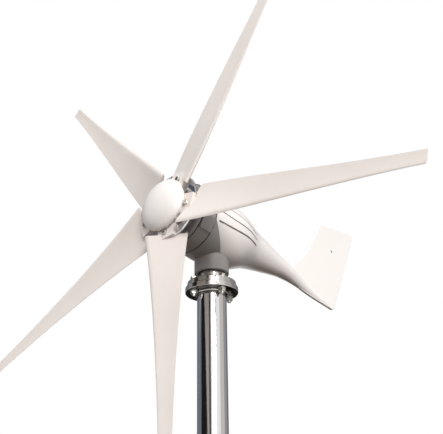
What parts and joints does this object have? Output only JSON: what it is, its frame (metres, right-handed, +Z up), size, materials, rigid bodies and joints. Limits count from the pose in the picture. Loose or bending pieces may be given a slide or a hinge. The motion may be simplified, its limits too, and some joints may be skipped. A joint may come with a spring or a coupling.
{
  "type": "horizontal axis wind turbine",
  "caption": "Small upwind horizontal axis wind turbine with moulded blades, domed nose, dark cast generator housing and a swept tail fin, yawing on a flanged tubular mast.",
  "frame": {"origin": "centre of the mast tube's cut lower end, on the yaw axis", "axes": "+Z up along the mast and the yaw axis, -Y towards the nose and into the wind, +Y along the tail, +X across to the turbine's left seen from the tail end looking at the nose"},
  "size_m": [1.1601, 0.7758, 1.2506],
  "materials": {
    "mast_steel": "polished stainless tube",
    "flange_steel": "polished stainless plate",
    "hub_steel": "polished turned disc",
    "cast_aluminium": "dark powder coated casting",
    "blade_nylon": "moulded glass filled nylon, satin",
    "shell_plastic": "gloss white moulded shell",
    "fastener_zinc": "bright zinc plate",
    "bearing_steel": "ground bearing steel",
    "shaft_steel": "turned steel",
    "copper": "enamelled copper winding",
    "slip_brass": "turned brass ring",
    "magnet": "nickel plated magnet",
    "lamination": "stacked electrical steel",
    "rubber": "moulded seal",
    "insulator": "moulded insulator",
    "carbon": "pressed carbon brush"
  },
  "bodies": {
    "mast": {"mast_tube": "mast_steel", "mast_flange": "flange_steel", "mast_weld_bead": "flange_steel", "yaw_shaft": "flange_steel", "flange_bolts": "fastener_zinc", "flange_nuts": "fastener_zinc", "flange_washers": "fastener_zinc", "yaw_lower_inner_race": "bearing_steel", "yaw_upper_inner_race": "bearing_steel", "yaw_bearing_spacer": "shaft_steel", "yaw_lock_nut": "shaft_steel", "slip_ring_sleeve": "insulator", "slip_rings": "slip_brass"},
    "nacelle": {"nacelle_casting": "cast_aluminium", "yaw_lower_outer_race": "bearing_steel", "yaw_upper_outer_race": "bearing_steel", "yaw_lower_balls": "bearing_steel", "yaw_upper_balls": "bearing_steel", "yaw_seal": "rubber", "yaw_circlip": "shaft_steel", "rear_access_cover": "cast_aluminium", "rear_cover_screws": "fastener_zinc", "brush_block": "insulator", "brushes": "carbon", "generator_ring": "cast_aluminium", "front_cover": "cast_aluminium", "generator_through_bolts": "fastener_zinc", "front_shaft_seal": "rubber", "stator_core": "lamination", "stator_windings": "copper", "rotor_front_outer_race": "bearing_steel", "rotor_front_balls": "bearing_steel", "rotor_rear_outer_race": "bearing_steel", "rotor_rear_balls": "bearing_steel", "tail_shell_left": "shell_plastic", "tail_shell_right": "shell_plastic", "tail_shell_screws": "fastener_zinc", "tail_fin_screw": "fastener_zinc", "tail_fin_nut": "fastener_zinc"},
    "rotor": {"rotor_shaft": "shaft_steel", "rotor_front_inner_race": "bearing_steel", "rotor_rear_inner_race": "bearing_steel", "magnet_hub": "shaft_steel", "rotor_bearing_spacer": "shaft_steel", "rotor_magnets": "magnet", "hub_disc": "hub_steel", "hub_washer": "fastener_zinc", "hub_nut": "fastener_zinc", "blade_1": "blade_nylon", "blade_2": "blade_nylon", "blade_3": "blade_nylon", "blade_4": "blade_nylon", "blade_5": "blade_nylon", "blade_clamp_plate": "cast_aluminium", "inner_blade_bolts": "fastener_zinc", "outer_blade_bolts": "fastener_zinc", "blade_washers": "fastener_zinc", "blade_nuts": "fastener_zinc", "nose_cone": "shell_plastic", "nose_screws": "fastener_zinc"}
  },
  "joints": [
    {"name": "yaw", "type": "hinge", "parent": "mast", "child": "nacelle", "pos_m": [0, 0, 0.605], "axis": [0, 0, 1], "continuous": true},
    {"name": "rotor_spin", "type": "hinge", "parent": "nacelle", "child": "rotor", "pos_m": [0, 0, 0.706], "axis": [0, -0.9962, 0.0872], "continuous": true}
  ]
}
